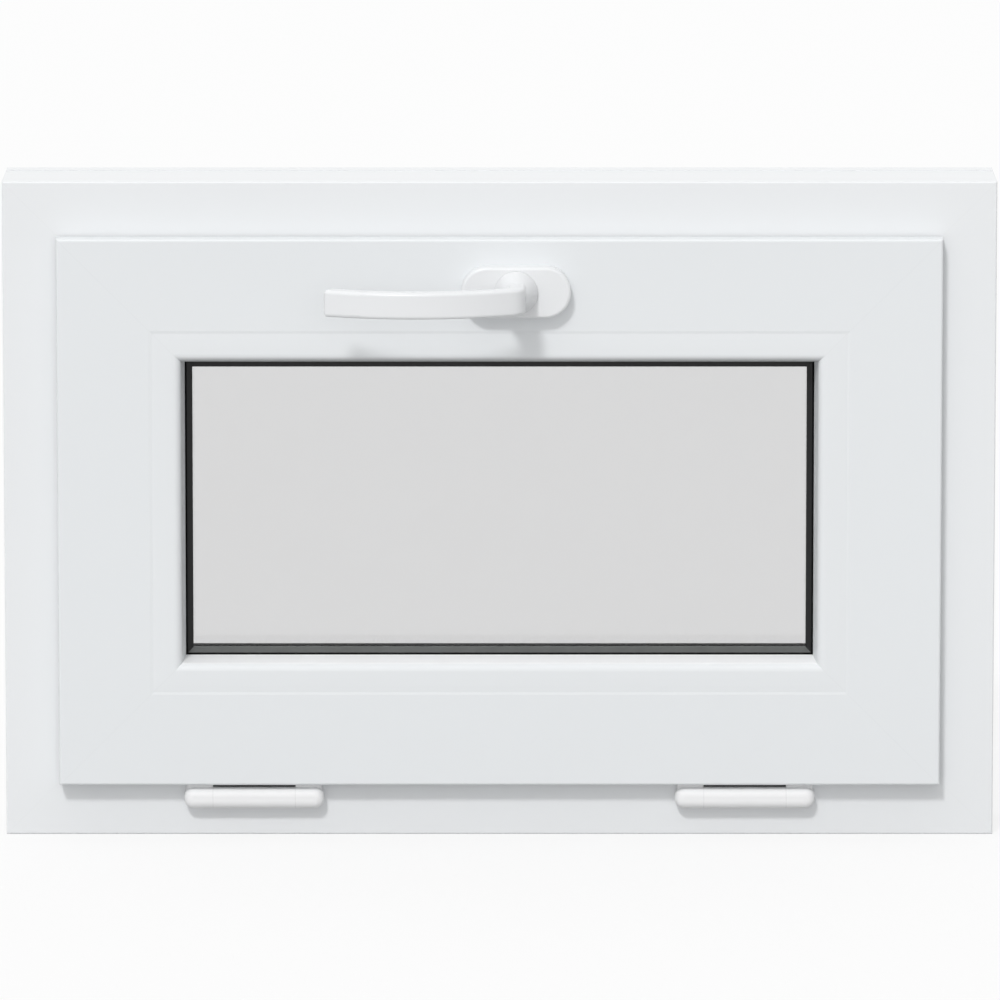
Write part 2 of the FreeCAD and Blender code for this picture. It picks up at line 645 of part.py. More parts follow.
# Drain caps on the weather side of the sill, open underneath.
mouth_side = "(Sizes.drain_length / 2 - Sizes.drain_wall)"
mouth_out = "(Sizes.drain_projection - Sizes.drain_wall)"
for side, sign in (("left", "-"), ("right", "")):
    cap = new_body(f"drain_cap_{side}")
    face = outline(
        cap, f"drain_face_{side}", "XZ_Plane",
        [rectangle("(Sizes.drain_length / 2)", "(Sizes.drain_rise / 2)")],
    )
    cap_pad = pad(cap, face, "Sizes.drain_projection", backward=True)
    round_edges(cap, cap_pad, facing(sizes["drain_projection"]), "Sizes.drain_radius")
    mouth_corners = [
        (f"-{mouth_side}", "0"),
        (mouth_side, "0"),
        (mouth_side, mouth_out),
        (f"-{mouth_side}", mouth_out),
    ]
    mouth = outline(
        cap, f"drain_mouth_{side}", "XY_Plane", [mouth_corners], "-Sizes.drain_rise / 2"
    )
    pocket(cap, mouth, "Sizes.drain_rise - Sizes.drain_wall", backward=True)
    drain_across = f"{sign}(Sizes.frame_width / 2 - Sizes.drain_inset)"
    place(cap, drain_across, FRAME_BACK, "Sizes.drain_height")

document.recompute()
kinds = ("PartDesign::Body", "Part::Box", "Part::Compound")
pieces = [
    piece for piece in document.Objects
    if piece.TypeId in kinds and piece not in covers.Links
]
for thing in document.Objects:
    if {"Invalid", "Error"} & set(thing.State):
        raise RuntimeError(f"{thing.Name} did not build")
for piece in pieces:
    if piece.Shape.isNull() or not piece.Shape.isValid() or not piece.Shape.Solids:
        raise RuntimeError(f"{piece.Label} has no sound solid")

os.makedirs("parts", exist_ok=True)
for piece in pieces:
    piece.Shape.exportStep(f"parts/{piece.Label}.step")
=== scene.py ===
# %% [markdown]
# # A hopper window, dressed in Blender
#
# The object is a small white PVC window that tilts in from its top edge: an outer frame, a raised
# sash, glazing beads round a double-glazed unit, a lever handle and two hinge covers. Its solids
# come from CAD as a fixed frame in metres: X runs along the sill, Y points outdoors and Z is up,
# with the origin under the middle of the sill. The shapes are already right, so Blender's work is
# the finishes, the light and the fine detail that is too small to be worth a solid.

# %% Load the solids
import json
import math

import bmesh
import bpy
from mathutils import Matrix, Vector

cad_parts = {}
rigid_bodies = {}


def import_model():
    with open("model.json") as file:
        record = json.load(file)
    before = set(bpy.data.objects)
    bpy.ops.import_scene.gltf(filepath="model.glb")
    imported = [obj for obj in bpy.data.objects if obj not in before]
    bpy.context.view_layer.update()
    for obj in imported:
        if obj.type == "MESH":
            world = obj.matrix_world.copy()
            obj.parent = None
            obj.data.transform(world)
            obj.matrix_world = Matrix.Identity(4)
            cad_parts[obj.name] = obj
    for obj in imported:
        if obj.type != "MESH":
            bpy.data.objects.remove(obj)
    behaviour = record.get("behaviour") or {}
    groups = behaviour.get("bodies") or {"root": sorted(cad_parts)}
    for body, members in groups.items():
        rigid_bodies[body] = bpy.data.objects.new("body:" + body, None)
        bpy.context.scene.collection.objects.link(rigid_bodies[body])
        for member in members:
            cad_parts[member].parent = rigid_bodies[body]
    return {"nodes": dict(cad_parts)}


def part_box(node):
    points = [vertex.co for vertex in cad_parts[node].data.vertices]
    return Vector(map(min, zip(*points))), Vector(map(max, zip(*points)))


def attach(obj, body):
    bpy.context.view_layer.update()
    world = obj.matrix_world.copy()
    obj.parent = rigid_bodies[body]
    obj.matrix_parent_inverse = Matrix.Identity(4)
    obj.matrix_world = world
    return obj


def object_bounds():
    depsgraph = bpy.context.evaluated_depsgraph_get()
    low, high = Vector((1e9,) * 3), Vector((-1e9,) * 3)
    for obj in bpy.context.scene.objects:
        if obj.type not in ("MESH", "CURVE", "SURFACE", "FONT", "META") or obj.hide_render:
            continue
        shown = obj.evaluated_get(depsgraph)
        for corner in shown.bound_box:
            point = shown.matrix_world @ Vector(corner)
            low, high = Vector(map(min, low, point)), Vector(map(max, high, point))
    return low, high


for leftover in list(bpy.data.objects):
    bpy.data.objects.remove(leftover)
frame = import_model()
cad_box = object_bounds()
nodes = frame["nodes"]
scene = bpy.context.scene
scene.view_settings.view_transform = "Standard"
print(len(nodes), "solids from", tuple(cad_box[0]), "to", tuple(cad_box[1]))

# %% [markdown]
# ## The camera
#
# The picture is taken with a long lens, a little above the window, so upright edges stay upright
# and a sliver of the frame's top shows. A lens shift could do that too, but it would stay on in
# every other view and push the window off centre. A camera several metres away and aimed close to
# the middle of the front face gives nearly the same look without one.

# %% Aim the camera
FRONT_Y = -0.035
CAMERA_DISTANCE = 6.0
CAMERA_ELEVATION = math.radians(9.0)
PICTURE_WIDTH = 0.6055
SENSOR_MM = 36.0
SIGHT_LIMIT = 200.0
AIM = Vector((0.0003, FRONT_Y, 0.2059))

camera_data = bpy.data.cameras.new("camera")
camera_data.sensor_width = SENSOR_MM
camera_data.lens = SENSOR_MM * CAMERA_DISTANCE / PICTURE_WIDTH
camera_data.clip_end = SIGHT_LIMIT
camera = bpy.data.objects.new("camera", camera_data)
scene.collection.objects.link(camera)
towards_camera = Vector((0.0, -math.cos(CAMERA_ELEVATION), math.sin(CAMERA_ELEVATION)))
camera.location = AIM + towards_camera * CAMERA_DISTANCE
camera.rotation_euler = (-towards_camera).to_track_quat("-Z", "Y").to_euler()
scene.camera = camera
print("lens of", round(camera_data.lens), "mm on a sensor", SENSOR_MM, "mm wide")

# %% [markdown]
# ## Sums on node sockets
#
# A material is a graph of nodes, but most of it is arithmetic, which reads best as arithmetic. A
# `Wire` holds one output socket, and each operator on it adds a Math node. A `Graph` makes every
# other node with one method: the node's type, its settings, then what goes into its sockets. The
# same two classes build Geometry Nodes trees further down.


# %% A socket that can be added, scaled and compared
class Wire:
    def __init__(self, graph, socket):
        self.graph, self.socket = graph, socket

    def math(self, operation, *others):
        return self.graph.node("Math", {"operation": operation}, [self, *others])

    def __add__(self, other):
        return self.math("ADD", other)

    def __sub__(self, other):
        return self.math("SUBTRACT", other)

    def __mul__(self, other):
        return self.math("MULTIPLY", other)

    def __rsub__(self, other):
        return self.graph.node("Math", {"operation": "SUBTRACT"}, [other, self])

    __radd__, __rmul__ = __add__, __mul__

    def __abs__(self):
        return self.math("ABSOLUTE")

    def __gt__(self, other):
        return self.math("GREATER_THAN", other)

    def between(self, low, high):
        """0 at low, 1 at high and a smooth step from one to the other."""
        return self.graph.node("MapRange", {"interpolation_type": "SMOOTHSTEP", "clamp": True},
                               {"Value": self, "From Min": low, "From Max": high})


# %% A tree that makes any node in one call
class Graph:
    def __init__(self, tree):
        self.tree = tree
        tree.nodes.clear()

    def node(self, kind, settings=None, sockets=None, output=0):
        """Add a node and wire it up. A list as a socket's value links several wires to it."""
        made = self.tree.nodes.new(kind if "Node" in kind else "ShaderNode" + kind)
        for name, value in (settings or {}).items():
            setattr(made, name, value)
        pairs = sockets.items() if isinstance(sockets, dict) else enumerate(sockets or [])
        for key, value in pairs:
            plug = made.inputs[key]
            for wire in value if isinstance(value, list) else [value]:
                if isinstance(wire, Wire):
                    self.tree.links.new(wire.socket, plug)
                else:
                    plug.default_value = (*wire, 1.0) if plug.type == "RGBA" else wire
        return Wire(self, made.outputs[output]) if len(made.outputs) else None

    def split(self, vector):
        return [self.node("SeparateXYZ", None, [vector], axis) for axis in range(3)]

    def grain(self, cells, stretch=(1.0, 1.0, 1.0), detail=2.0):
        """Soft noise from 0 to 1, with so many cells to a metre, drawn out by stretch."""
        point = self.node("TexCoord", output="Object")
        point = self.node("VectorMath", {"operation": "MULTIPLY"}, [point, stretch])
        return self.node("TexNoise", None, {"Vector": point, "Scale": cells, "Detail": detail})

    def mix(self, share, first, second):
        """From the first colour to the second. Sockets 6 and 7 are a Mix node's two colours."""
        return self.node("Mix", {"data_type": "RGBA"}, {0: share, 6: first, 7: second}, output=2)

    def surface(self, colour, roughness, relief, **constants):
        """A Principled surface whose relief is a height in metres."""
        bump = self.node("Bump", None, {"Strength": 1.0, "Distance": 1.0, "Height": relief})
        sockets = {"Base Color": colour, "Roughness": roughness, "Normal": bump}
        sockets.update((name.replace("_", " "), value) for name, value in constants.items())
        shader = self.node("BsdfPrincipled", None, sockets)
        self.node("OutputMaterial", None, {"Surface": shader})


def new_finish(name):
    material = bpy.data.materials.new(name)
    material.use_nodes = True
    return material, Graph(material.node_tree)


def shade(colour, amount):
    return tuple(channel * amount for channel in colour)


print("a graph builder for finishes and for repeated pieces")

# %% [markdown]
# ## Studio light
#
# One soft key comes from high in front of the window and a little to the left: the sash drops a
# shadow on the sill and a narrow one on its right, and the handle drops one on the bead below it.
# A sun lamp keeps it even over the whole window, and its angle sets how soft the shadows' edges
# are. The rest is a pale surround: a bright patch straight in front fills the shadows without
# dropping new ones, the sky overhead and the outdoor side are bright too, and the left is a little
# brighter than the right. Camera, mirror and glass rays see plain white there, and only the rays
# that light things see the dimmer surround, so a white room doesn't wash out a white object.

# %% The key
KEY_DIRECTION = Vector((-0.25, -1.0, 0.85))
KEY_ENERGY = 1.20
KEY_ANGLE = math.radians(8.0)
key_data = bpy.data.lights.new("key", "SUN")
key_data.energy = KEY_ENERGY
key_data.angle = KEY_ANGLE
key = bpy.data.objects.new("key", key_data)
key.rotation_euler = KEY_DIRECTION.to_track_quat("Z", "Y").to_euler()
scene.collection.objects.link(key)
key_climb = math.asin(KEY_DIRECTION.normalized().z)
print("key of", KEY_ENERGY, "from", round(math.degrees(key_climb)), "degrees up")

# %% The surround, as it lights and as it shows
WHITE = (1.0, 1.0, 1.0)
BACKGROUND = 0.978
ALL_ROUND, OVERHEAD, OUTDOORS, IN_FRONT, LEFT_OVER_RIGHT = 0.14, 0.81, 0.55, 1.97, 0.14
FRONT_FALLOFF = 8.0


def sees_backdrop(graph):
    """1 for camera, mirror and glass rays, 0 for the rays that only gather light."""
    camera_ray, glossy_ray, through_ray = (
        graph.node("LightPath", output=name)
        for name in ("Is Camera Ray", "Is Glossy Ray", "Is Transmission Ray"))
    return camera_ray.math("MAXIMUM", glossy_ray).math("MAXIMUM", through_ray)


scene.world = bpy.data.worlds.new("surround")
scene.world.use_nodes = True
world = Graph(scene.world.node_tree)
rightward, outward, upward = world.split(world.node("TexCoord", output="Generated"))
patch = (0.0 - outward).math("MAXIMUM", 0.0).math("POWER", FRONT_FALLOFF)
strength = (ALL_ROUND + OVERHEAD * upward.math("MAXIMUM", 0.0)
            + OUTDOORS * outward.math("MAXIMUM", 0.0)
            + IN_FRONT * patch - LEFT_OVER_RIGHT * rightward)
lit = world.node("Background", None, {"Color": WHITE, "Strength": strength})
plain = world.node("Background", None, {"Color": WHITE, "Strength": BACKGROUND})
backdrop = world.node("MixShader", None, [sees_backdrop(world), lit, plain])
world.node("OutputWorld", None, {"Surface": backdrop})
print("a surround that shows as", BACKGROUND)

# %% [markdown]
# ## The floor
#
# The floor runs far past the camera and is the same white as the surround, so no horizon shows.
# A share of it is a real diffuse surface that takes the window's shadow, and the rays that only
# gather light see a greyer floor, which sets how much light comes back up under the sash.

# %% Lay the floor
FLOOR_REACH = 60.0
FLOOR_BOUNCE, FLOOR_SHOWN = (0.50, 0.50, 0.50), (0.90, 0.90, 0.90)
GLOW_SHARE = 0.78
CORNERS = ((-1, -1), (1, -1), (1, 1), (-1, 1))
floor_mesh = bpy.data.meshes.new("floor")
floor_mesh.from_pydata([(x * FLOOR_REACH, y * FLOOR_REACH, 0.0) for x, y in CORNERS],
                       [], [(0, 1, 2, 3)])
floor = bpy.data.objects.new("floor", floor_mesh)
scene.collection.objects.link(floor)
floor_finish, paint = new_finish("floor")
bounce = paint.node("BsdfDiffuse", None, {"Color": FLOOR_BOUNCE})
shown = paint.node("BsdfDiffuse", None, {"Color": FLOOR_SHOWN})
glow = paint.node("Emission", None, {"Color": WHITE, "Strength": BACKGROUND})
pale = paint.node("MixShader", None, [GLOW_SHARE, shown, glow])
pale = paint.node("MixShader", None, [sees_backdrop(paint), bounce, pale])
paint.node("OutputMaterial", None, {"Surface": pale})
floor_mesh.materials.append(floor_finish)
print("floor of", 2 * FLOOR_REACH, "m each way")

# %% [markdown]
# ## White PVC
#
# Window profiles are pushed through a die and cooled, which leaves a smooth, half-gloss skin with
# faint lines along the bar and a slight ripple. The bars are cut at 45 degrees, welded, and the
# weld is scraped flush, so each corner carries a hair-thin seam. The seam could be cut into the
# mesh, but every ring of the window shares the same four diagonals, so one distance from the
# diagonal, worked out from the object coordinates, marks it on frame, sash and beads alike.
# The beads carry painted light and shade: a paler white is painted where they face up, standing
# in for the light on the bottom bead's ledge, and a greyer one where they face down, for the shade
# under the top bead.

# %% The PVC finish, with its lines along X or along Z
(left, _, bottom), (right, _, top) = cad_box
WIDTH, HEIGHT = right - left, top - bottom
# Painted light: the paler white painted on the beads where they face up.
PAINTED_LIGHT_WHITE = (0.930, 0.938, 0.945)
SEAM_CORE, SEAM_EDGE = 0.00010, 0.00045
PVC_IOR = 1.52


def drawn_out(along, lengthwise, across):
    """Noise cells to a metre on X, Y and Z, for lines that run along one axis."""
    return tuple(lengthwise if axis == along else across for axis in "XYZ")


# The last argument sets the share of painted light on faces that look up and painted shade on faces
# that look down.
def white_pvc(name, along, colour, roughness, seam, painted_light_and_shade):
    material, g = new_finish(name)
    x, _, z = g.split(g.node("TexCoord", output="Object"))
    _, _, facing_up = g.split(g.node("NewGeometry", output="Normal"))
    from_side, from_end = WIDTH / 2 - abs(x), HEIGHT / 2 - abs(z - HEIGHT / 2)
    weld = 1.0 - (abs(from_side - from_end) * math.sqrt(0.5)).between(SEAM_CORE, SEAM_EDGE)
    # Masks: faces that look up get painted light, faces that look down get painted shade.
    painted_light_up, painted_shade_down = facing_up.between(0.75, 1.0), (0.0 - facing_up).between(0.05, 1.0)
    die_lines = g.grain(1.0, drawn_out(along, 2.0, 900.0), 1.0)
    ripple = g.grain(55.0, detail=3.0)
    cloud = g.grain(5.0, detail=1.0)
    tone = g.mix(cloud, colour, shade(colour, 0.975))
    # Painted light: a paler white where the beads face up.
    tone = g.mix(painted_light_up * painted_light_and_shade, tone, PAINTED_LIGHT_WHITE)
    # Painted shade: a greyer white where the beads face down.
    tone = g.mix(painted_shade_down * painted_light_and_shade, tone, shade(colour, 0.55))
    tone = g.mix(weld * seam, tone, shade(colour, 0.6))
    g.surface(tone, roughness + 0.08 * die_lines + 0.06 * ripple + 0.15 * weld,
              2e-6 * die_lines + 1.2e-5 * ripple - 1e-4 * seam * weld, IOR=PVC_IOR)
    return material


print("seams", 2000 * SEAM_EDGE, "mm wide")

# %% PVC on the frame, the sash and the beads
# The last key of each look is its share of painted light and shade; only the beads have any.
PVC_LOOKS = {
    "frame": {"colour": (0.812, 0.827, 0.840), "roughness": 0.33, "seam": 0.04, "painted_light_and_shade": 0.0},
    "sash": {"colour": (0.783, 0.804, 0.819), "roughness": 0.36, "seam": 0.05, "painted_light_and_shade": 0.0},
    "bead": {"colour": (0.786, 0.806, 0.820), "roughness": 0.52, "seam": 0.05, "painted_light_and_shade": 1.0}}
LEVEL_BARS = {"frame": ("sill", "head"), "sash": ("bottom_rail", "top_rail"),
              "bead": ("bottom", "top")}
UPRIGHT_BARS = {"frame": ("left_jamb", "right_jamb"), "sash": ("left_stile", "right_stile"),
                "bead": ("left", "right")}
finishes = {}
for group, look in PVC_LOOKS.items():
    for way, axis, bars in (("level", "X", LEVEL_BARS), ("upright", "Z", UPRIGHT_BARS)):
        pvc = white_pvc(f"pvc_{group}_{way}", axis, **look)
        finishes.update({f"{group}_{side}": pvc for side in bars[group]})
print("PVC on", len(finishes), "bars")

# %% [markdown]
# ## Lacquer on the handle
#
# The lever and its rosette are cast metal under white powder paint. The paint flows a little
# before it sets and keeps a skin like orange peel, with waves about two millimetres long and a few
# thousandths of a millimetre high. They hardly show as colour, only as a slight wander in the
# highlights, so they go into the bump and the roughness.

# %% Powder paint with an orange-peel skin
LACQUER = (0.800, 0.811, 0.823)
lacquer, g = new_finish("white_lacquer")
peel, specks = g.grain(420.0), g.grain(2600.0)
g.surface(g.mix(specks, LACQUER, shade(LACQUER, 0.97)), 0.27 + 0.06 * peel + 0.05 * specks,
          5e-6 * peel + 1e-6 * specks)
finishes.update(handle_lever=lacquer, handle_rosette=lacquer)
print("lacquer on the handle")

# %% [markdown]
# ## Moulded caps
#
# The hinge covers and the drain caps are injection moulded, with the even, very fine grain of a
# spark-cut mould. Each hinge cover is three mouldings clipped together, a middle as long as the
# hinge leaf and two ends, and a hairline shows where they meet. A groove modelled in the mesh would
# be thinner than a pixel from any normal distance, so the line is a dip in the bump and a darker
# tone at a set distance from the middle of the cover.

# %% Moulding grain, and the joint lines of the hinge covers
CAP = (0.868, 0.869, 0.874)
COVER_JOINT = 0.14
JOINT_CORE, JOINT_EDGE = 0.00012, 0.00045
leaf_low, leaf_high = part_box("hinge_leaf_right")
LEAF_MIDDLE, LEAF_HALF = (leaf_low.x + leaf_high.x) / 2, (leaf_high.x - leaf_low.x) / 2


def moulded_cap(name, joint):
    material, g = new_finish(name)
    x, _, _ = g.split(g.node("TexCoord", output="Object"))
    off_joint = abs(abs(abs(x) - LEAF_MIDDLE) - LEAF_HALF)
    line = 1.0 - off_joint.between(JOINT_CORE, JOINT_EDGE)
    spark, flow = g.grain(3200.0), g.grain(40.0)
    tone = g.mix(flow * 0.5 + spark * 0.5, CAP, shade(CAP, 0.97))
    g.surface(g.mix(line * joint, tone, shade(CAP, 0.45)), 0.44 + 0.12 * spark + 0.06 * flow,
              5e-6 * spark + 6e-6 * flow - 1.5e-4 * joint * line)
    return material


finishes["hinge_covers"] = moulded_cap("white_cap_joined", COVER_JOINT)
plain_cap = moulded_cap("white_cap", 0.0)
finishes.update(drain_cap_left=plain_cap, drain_cap_right=plain_cap)
print("joint lines", round(2000 * LEAF_HALF), "mm apart on each hinge cover")

# %% [markdown]
# ## Rubber
#
# Gaskets and seals are extruded, so their fine lines run along the bar like those of the PVC. The
# black lips beside the glass are shiny enough to catch the key where they face up, and dust
# settles there first: the surface normal's upward part blends a grey film over the black. That
# film is partly dust and partly a painted sheen, lightening the faces that look up as the key's
# highlight does.


# %% Extruded rubber with dust and a painted sheen on what faces up
def rubber(name, along, colour, shine, dust_and_sheen_tone):
    material, g = new_finish(name)
    _, _, facing_up = g.split(g.node("NewGeometry", output="Normal"))
    lines = g.grain(1.0, drawn_out(along, 3.0, 1600.0), 1.0)
    blotch = g.grain(90.0, detail=3.0)
    # Dust and painted sheen: a lighter film on faces that look up, part dust, part painted
    # highlight.
    dust_and_painted_sheen = facing_up.between(0.25, 0.75) * (0.65 + 0.5 * blotch)
    tone = g.mix(lines, colour, shade(colour, 0.6))
    g.surface(g.mix(dust_and_painted_sheen, tone, dust_and_sheen_tone), 0.30 + 0.10 * lines + 0.22 * dust_and_painted_sheen,
              6e-6 * lines + 4e-6 * blotch, Specular_IOR_Level=shine)
    return material


BLACK, GREY = (0.009, 0.0093, 0.0096), (0.20, 0.205, 0.21)
BLACK_SHINE, GREY_SHINE = 0.3, 0.4
# Film tones; on the black lips the film also stands in for the key's highlight.
DUST_AND_SHEEN_ON_BLACK, DUST_ON_GREY = (0.155, 0.167, 0.162), (0.30, 0.30, 0.29)
for way, axis, sides in (("level", "X", ("bottom", "top")), ("upright", "Z", ("left", "right"))):
    black = rubber(f"black_gasket_{way}", axis, BLACK, BLACK_SHINE, DUST_AND_SHEEN_ON_BLACK)
    grey = rubber(f"grey_seal_{way}", axis, GREY, GREY_SHINE, DUST_ON_GREY)
    for side in sides:
        finishes.update({f"inner_gasket_{side}": black, f"outer_gasket_{side}": black,
                         f"sash_seal_{side}": grey, f"frame_seal_{side}": grey})
print("rubber on", sum("gasket" in name or "seal" in name for name in finishes), "strips")

# %% [markdown]
# ## Steel and aluminium
#
# The hinge leaves are dark plated steel, drawn out along their length. The spacer bar is rolled
# from thin aluminium strip and mirrors its surroundings softly. Both are plain metals whose
# character is in the roughness: long streaks on one, a fine even haze on the other.

# %% Two metals
STEEL, ALUMINIUM = (0.095, 0.097, 0.100), (0.76, 0.77, 0.78)
steel, g = new_finish("dark_steel")
streaks, stain = g.grain(1.0, drawn_out("X", 60.0, 2400.0)), g.grain(160.0)
g.surface(g.mix(stain, STEEL, shade(STEEL, 0.65)), 0.32 + 0.16 * streaks + 0.08 * stain,
          3e-6 * streaks, Metallic=1.0)
aluminium, g = new_finish("spacer_aluminium")
haze, roll = g.grain(1800.0), g.grain(35.0)
g.surface(g.mix(roll, ALUMINIUM, shade(ALUMINIUM, 0.9)), 0.28 + 0.10 * haze + 0.08 * roll,
          2e-6 * haze + 4e-6 * roll, Metallic=1.0)
finishes.update(hinge_leaf_left=steel, hinge_leaf_right=steel, spacer_bar=aluminium)
print("metal on the leaves and the spacer")

# %% [markdown]
# ## Glass
#
# Two clear panes with a low-emission coating take a little light out, so the white room behind
# reads as a pale grey. Wiping leaves faint smears, which dull it here and there. Bending light
# through real glass is slow to gather as shadow, so shadow rays pass straight through the pane in
# the same tint. They cross two faces of it, so each face takes the square root of the tint.

# %% Clear double glazing
GLASS_TINT = (0.832, 0.832, 0.834)
GLASS_IOR = 1.5
SMEAR_ROUGHNESS = 0.014
glass, g = new_finish("clear_glass")
smears = g.grain(9.0, (1.0, 1.0, 2.2), 4.0).between(0.45, 0.75)
pane = g.node("BsdfPrincipled", None,
              {"Base Color": g.mix(smears, GLASS_TINT, shade(GLASS_TINT, 0.997)),
               "Roughness": SMEAR_ROUGHNESS * smears, "IOR": GLASS_IOR, "Transmission Weight": 1.0})
each_face = tuple(math.sqrt(channel) for channel in GLASS_TINT)
lets_light_in = g.node("BsdfTransparent", None, {"Color": each_face})
shadow_ray = g.node("LightPath", output="Is Shadow Ray")
pane = g.node("MixShader", None, [shadow_ray, pane, lets_light_in])
g.node("OutputMaterial", None, {"Surface": pane})
finishes.update(glass_inner_pane=glass, glass_outer_pane=glass)

for name, solid in nodes.items():
    solid.material_slots[0].material = finishes[name]
print("finishes on", len(nodes), "solids")

# %% [markdown]
# ## A lip over the bead joint
#
# Each bead snaps into the sash, and a thin lip along its foot lies over the joint, so that no open
# slit shows between the two. A lip a quarter of a millimetre high isn't worth a solid, so it is a
# light mesh: one small section carried round the four corners of the joint. The mitres come by
# themselves, because a point that lies further inward moves in on both sides of its corner. The
# section slopes from just in front of the sash's face to just in front of the bead's, which lies
# a little deeper, and its back is buried in both.

# %% One section carried round four corners
LIP_OVER_SASH, LIP_OVER_BEAD = 0.00035, 0.0013
LIP_AT_SASH, LIP_AT_BEAD, LIP_BACK = -0.000015, 0.000226, 0.0006
LIP = ((-LIP_OVER_SASH, LIP_AT_SASH), (LIP_OVER_BEAD, LIP_AT_BEAD),
       (LIP_OVER_BEAD, LIP_BACK), (-LIP_OVER_SASH, LIP_BACK))
ROUND_OF_FOUR = ((0, 1), (1, 2), (2, 3), (3, 0))
(_, _, joint_low), (joint_side, _, joint_high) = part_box("bead_left")[0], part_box("bead_right")[1]
joint_middle, joint_reach = (joint_low + joint_high) / 2, (joint_high - joint_low) / 2
sash_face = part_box("sash_top_rail")[0].y
lip_points = [(side * (joint_side - inward), sash_face + behind,
               joint_middle + up * (joint_reach - inward))
              for side, up in CORNERS for inward, behind in LIP]
lip_faces = [(4 * here + a, 4 * after + a, 4 * after + b, 4 * here + b)
             for here, after in ROUND_OF_FOUR for a, b in ROUND_OF_FOUR]
lip_mesh = bpy.data.meshes.new("bead_lip")
lip_mesh.from_pydata(lip_points, [], lip_faces)
lip_mesh.materials.append(finishes["bead_bottom"])
lip_mesh.materials.append(finishes["bead_left"])
for face in lip_mesh.polygons:
    face.material_index = face.index // 4 % 2
bead_lip = bpy.data.objects.new("bead_lip", lip_mesh)
scene.collection.objects.link(bead_lip)
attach(bead_lip, "window")
print("lip round a joint", round(2000 * joint_side), "by", round(2000 * joint_reach), "mm")

# %% [markdown]
# ## Ends of the hinge covers
#
# Above each rounded end of a hinge cover, a small moulded shoulder closes the gap up to the sash,
# so that no dark slit shows there. It is a plan with one round corner, drawn once, mirrored to the
# four ends and pulled up from the cover to the sash. Mirroring turns a shape inside out, so the
# normals are worked out again at the end.

# %% A plan with a round corner
END_START, END_REACH, END_DEPTH, END_ROUND = 0.0363, 0.0412, 0.0076, 0.003
ROUND_STEPS = 4
end_front = FRONT_Y - END_DEPTH
quarter = [math.radians(90.0) * step / ROUND_STEPS for step in range(ROUND_STEPS + 1)]
end_plan = [(END_START, FRONT_Y), (END_REACH, FRONT_Y)]
end_plan += [(END_REACH - END_ROUND * (1.0 - math.cos(angle)),
              end_front + END_ROUND * (1.0 - math.sin(angle))) for angle in quarter]
end_plan += [(END_START, end_front)]
print(len(end_plan), "points round the plan")

# %% The plan pulled up at four places
COVER_MIDDLE_Z, UNDER_SASH = 0.024, 0.00002
end_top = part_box("sash_bottom_rail")[0].z - UNDER_SASH
shape = bmesh.new()
for hinge in (-LEAF_MIDDLE, LEAF_MIDDLE):
    for way in (-1.0, 1.0):
        foot = shape.faces.new([shape.verts.new((hinge + way * across, depth, COVER_MIDDLE_Z))
                                for across, depth in end_plan])
        pulled = bmesh.ops.extrude_face_region(shape, geom=[foot], use_keep_orig=True)["geom"]
        bmesh.ops.translate(shape, vec=(0.0, 0.0, end_top - COVER_MIDDLE_Z),
                            verts=[item for item in pulled if isinstance(item, bmesh.types.BMVert)])
bmesh.ops.recalc_face_normals(shape, faces=shape.faces)
end_mesh = bpy.data.meshes.new("hinge_cover_ends")
shape.to_mesh(end_mesh)
shape.free()
end_mesh.materials.append(plain_cap)
hinge_cover_ends = bpy.data.objects.new("hinge_cover_ends", end_mesh)
scene.collection.objects.link(hinge_cover_ends)
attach(hinge_cover_ends, "window")
print("four cover ends with", len(end_mesh.polygons), "faces")

# %% [markdown]
# ## Holes in the spacer bar
#
# The spacer between the panes is hollow and filled with drying beads, and two rows of pinholes
# along its inner face let them reach the air inside. They show through the glass from above and
# from the side. Hundreds of holes by hand are no way to work, so Geometry Nodes walk a rectangle of
# the spacer's inner size, sink a small dark plug into the wall at every step with its face to the
# middle of the window, leave the corners bare and repeat the row beside itself. The plug's dark is
# painted shade for the hollow behind each hole, speckled where the drying beads sit.

# %% Painted shade for the hollow of a hole, with the drying beads in it
# Painted shade for the hollow behind a hole, and a speckle for the drying beads.
HOLE_PAINTED_SHADE, HOLE_BEADS = (0.020, 0.020, 0.019), (0.055, 0.053, 0.048)
hole_shade, g = new_finish("spacer_hole")
beads = g.grain(900.0)
g.surface(g.mix(beads, HOLE_PAINTED_SHADE, HOLE_BEADS), 0.7 + 0.2 * beads, 1e-5 * beads)
print("a finish for the holes")

# %% The tree that perforates a rectangle
HOLE_SIZES = ("Width", "Height", "Pitch", "Row gap", "Hole length", "Hole width", "Hole depth",
              "Bare corner")
tree = bpy.data.node_groups.new("spacer_perforation", "GeometryNodeTree")
for name in HOLE_SIZES:
    tree.interface.new_socket(name, in_out="INPUT", socket_type="NodeSocketFloat")
tree.interface.new_socket("Holes", in_out="OUTPUT", socket_type="NodeSocketGeometry")

g = Graph(tree)
size = {name: g.node("NodeGroupInput", output=name) for name in HOLE_SIZES}
loop = g.node("GeometryNodeCurvePrimitiveQuadrilateral", None,
              {"Width": size["Width"], "Height": size["Height"]})
loop = g.node("GeometryNodeTransform", None,
              {"Geometry": loop, "Rotation": (math.radians(90.0), 0.0, 0.0)})
walk = g.node("GeometryNodeCurveToPoints", {"mode": "LENGTH"},
              {"Curve": loop, "Length": size["Pitch"]})
along = Wire(g, walk.socket.node.outputs["Tangent"])
inward = g.node("VectorMath", {"operation": "CROSS_PRODUCT"}, [along, (0.0, 1.0, 0.0)])
facing = g.node("FunctionNodeAxesToRotation", {"primary_axis": "Z", "secondary_axis": "X"},
                [inward, along])
print("inputs", ", ".join(HOLE_SIZES))

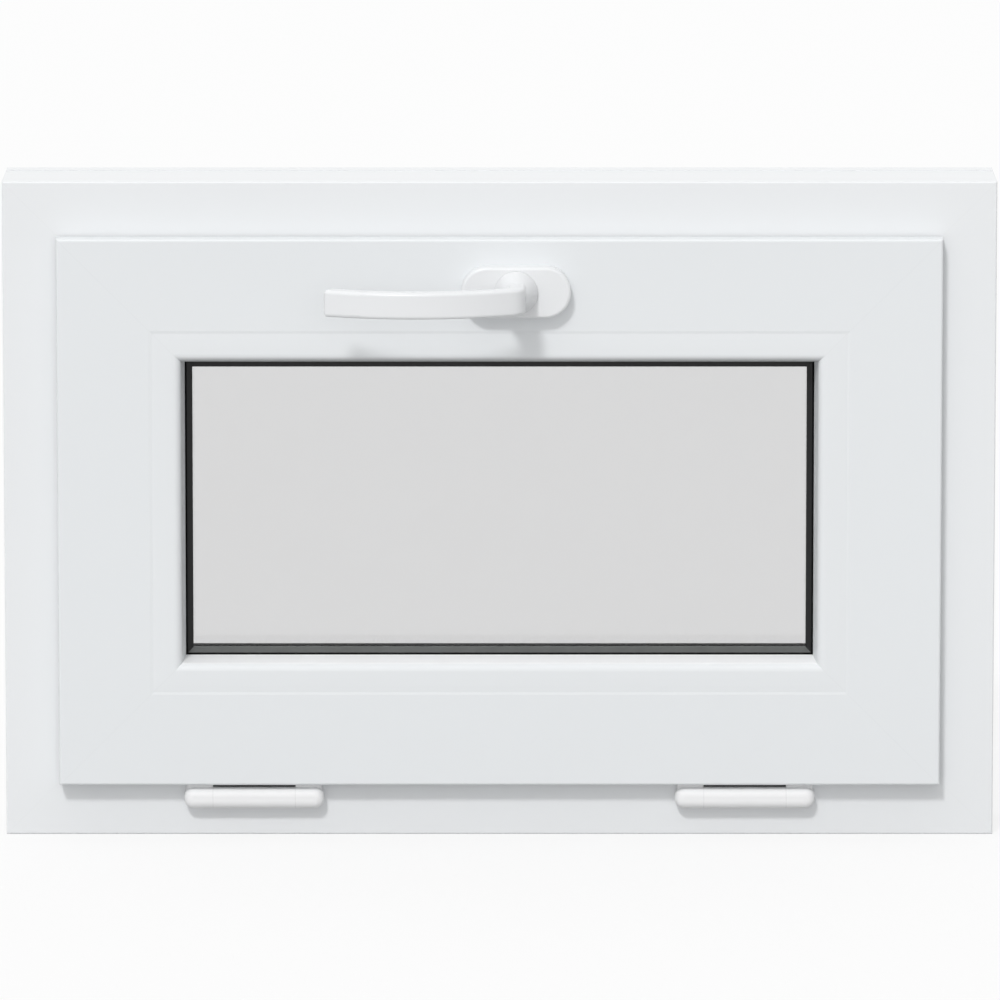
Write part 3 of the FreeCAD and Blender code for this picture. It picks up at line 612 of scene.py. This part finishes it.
# %% Oval plugs on the points, in two rows
PLUG_SIDES = 8
oval = g.node("GeometryNodeMeshCylinder", {"fill_type": "NGON"},
              {"Vertices": PLUG_SIDES, "Radius": 0.5, "Depth": size["Hole depth"]})
x, _, z = g.split(g.node("GeometryNodeInputPosition"))
near_side = abs(x) > size["Width"] * 0.5 - size["Bare corner"]
near_end = abs(z) > size["Height"] * 0.5 - size["Bare corner"]
scale = g.node("CombineXYZ", None, [size["Hole length"], size["Hole width"], 1.0])
row = g.node("GeometryNodeInstanceOnPoints", None,
             {"Points": walk, "Instance": oval, "Rotation": facing, "Scale": scale,
              "Selection": 1.0 - near_side * near_end})
rows = []
for share in (-0.5, 0.5):
    shift = g.node("CombineXYZ", None, [0.0, size["Row gap"] * share, 0.0])
    rows.append(g.node("GeometryNodeTransform", None, {"Geometry": row, "Translation": shift}))
holes = g.node("GeometryNodeJoinGeometry", None, [rows])
holes = g.node("GeometryNodeRealizeInstances", None, [holes])
holes = g.node("GeometryNodeSetMaterial", None, {"Geometry": holes, "Material": hole_shade})
g.node("NodeGroupOutput", None, {"Holes": holes})
print(len(tree.nodes), "nodes in the tree")

# %% Run the tree and keep a plain mesh on the spacer's inner face
SPACER_RISE, HOLE_DEPTH, PROUD = 0.010, 0.0003, 0.00003
low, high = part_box("spacer_bar")
plug_middle = SPACER_RISE - HOLE_DEPTH / 2 + PROUD
hole_values = {"Width": high.x - low.x - 2 * plug_middle,
               "Height": high.z - low.z - 2 * plug_middle,
               "Pitch": 0.0032, "Row gap": 0.0065, "Hole length": 0.0015, "Hole width": 0.0006,
               "Hole depth": HOLE_DEPTH, "Bare corner": 0.006}
spacer_holes = bpy.data.objects.new("spacer_holes", bpy.data.meshes.new("empty"))
scene.collection.objects.link(spacer_holes)
perforate = spacer_holes.modifiers.new("perforate", "NODES")
perforate.node_group = tree
for name, value in hole_values.items():
    perforate[tree.interface.items_tree[name].identifier] = value
evaluated = spacer_holes.evaluated_get(bpy.context.evaluated_depsgraph_get())
hole_mesh = bpy.data.meshes.new_from_object(evaluated)
spacer_holes.modifiers.clear()
spacer_holes.data = hole_mesh
middle = (low + high) / 2
for vertex in hole_mesh.vertices:
    vertex.co += middle
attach(spacer_holes, "window")
print(len(hole_mesh.polygons) // (PLUG_SIDES + 2), "holes in the spacer bar")
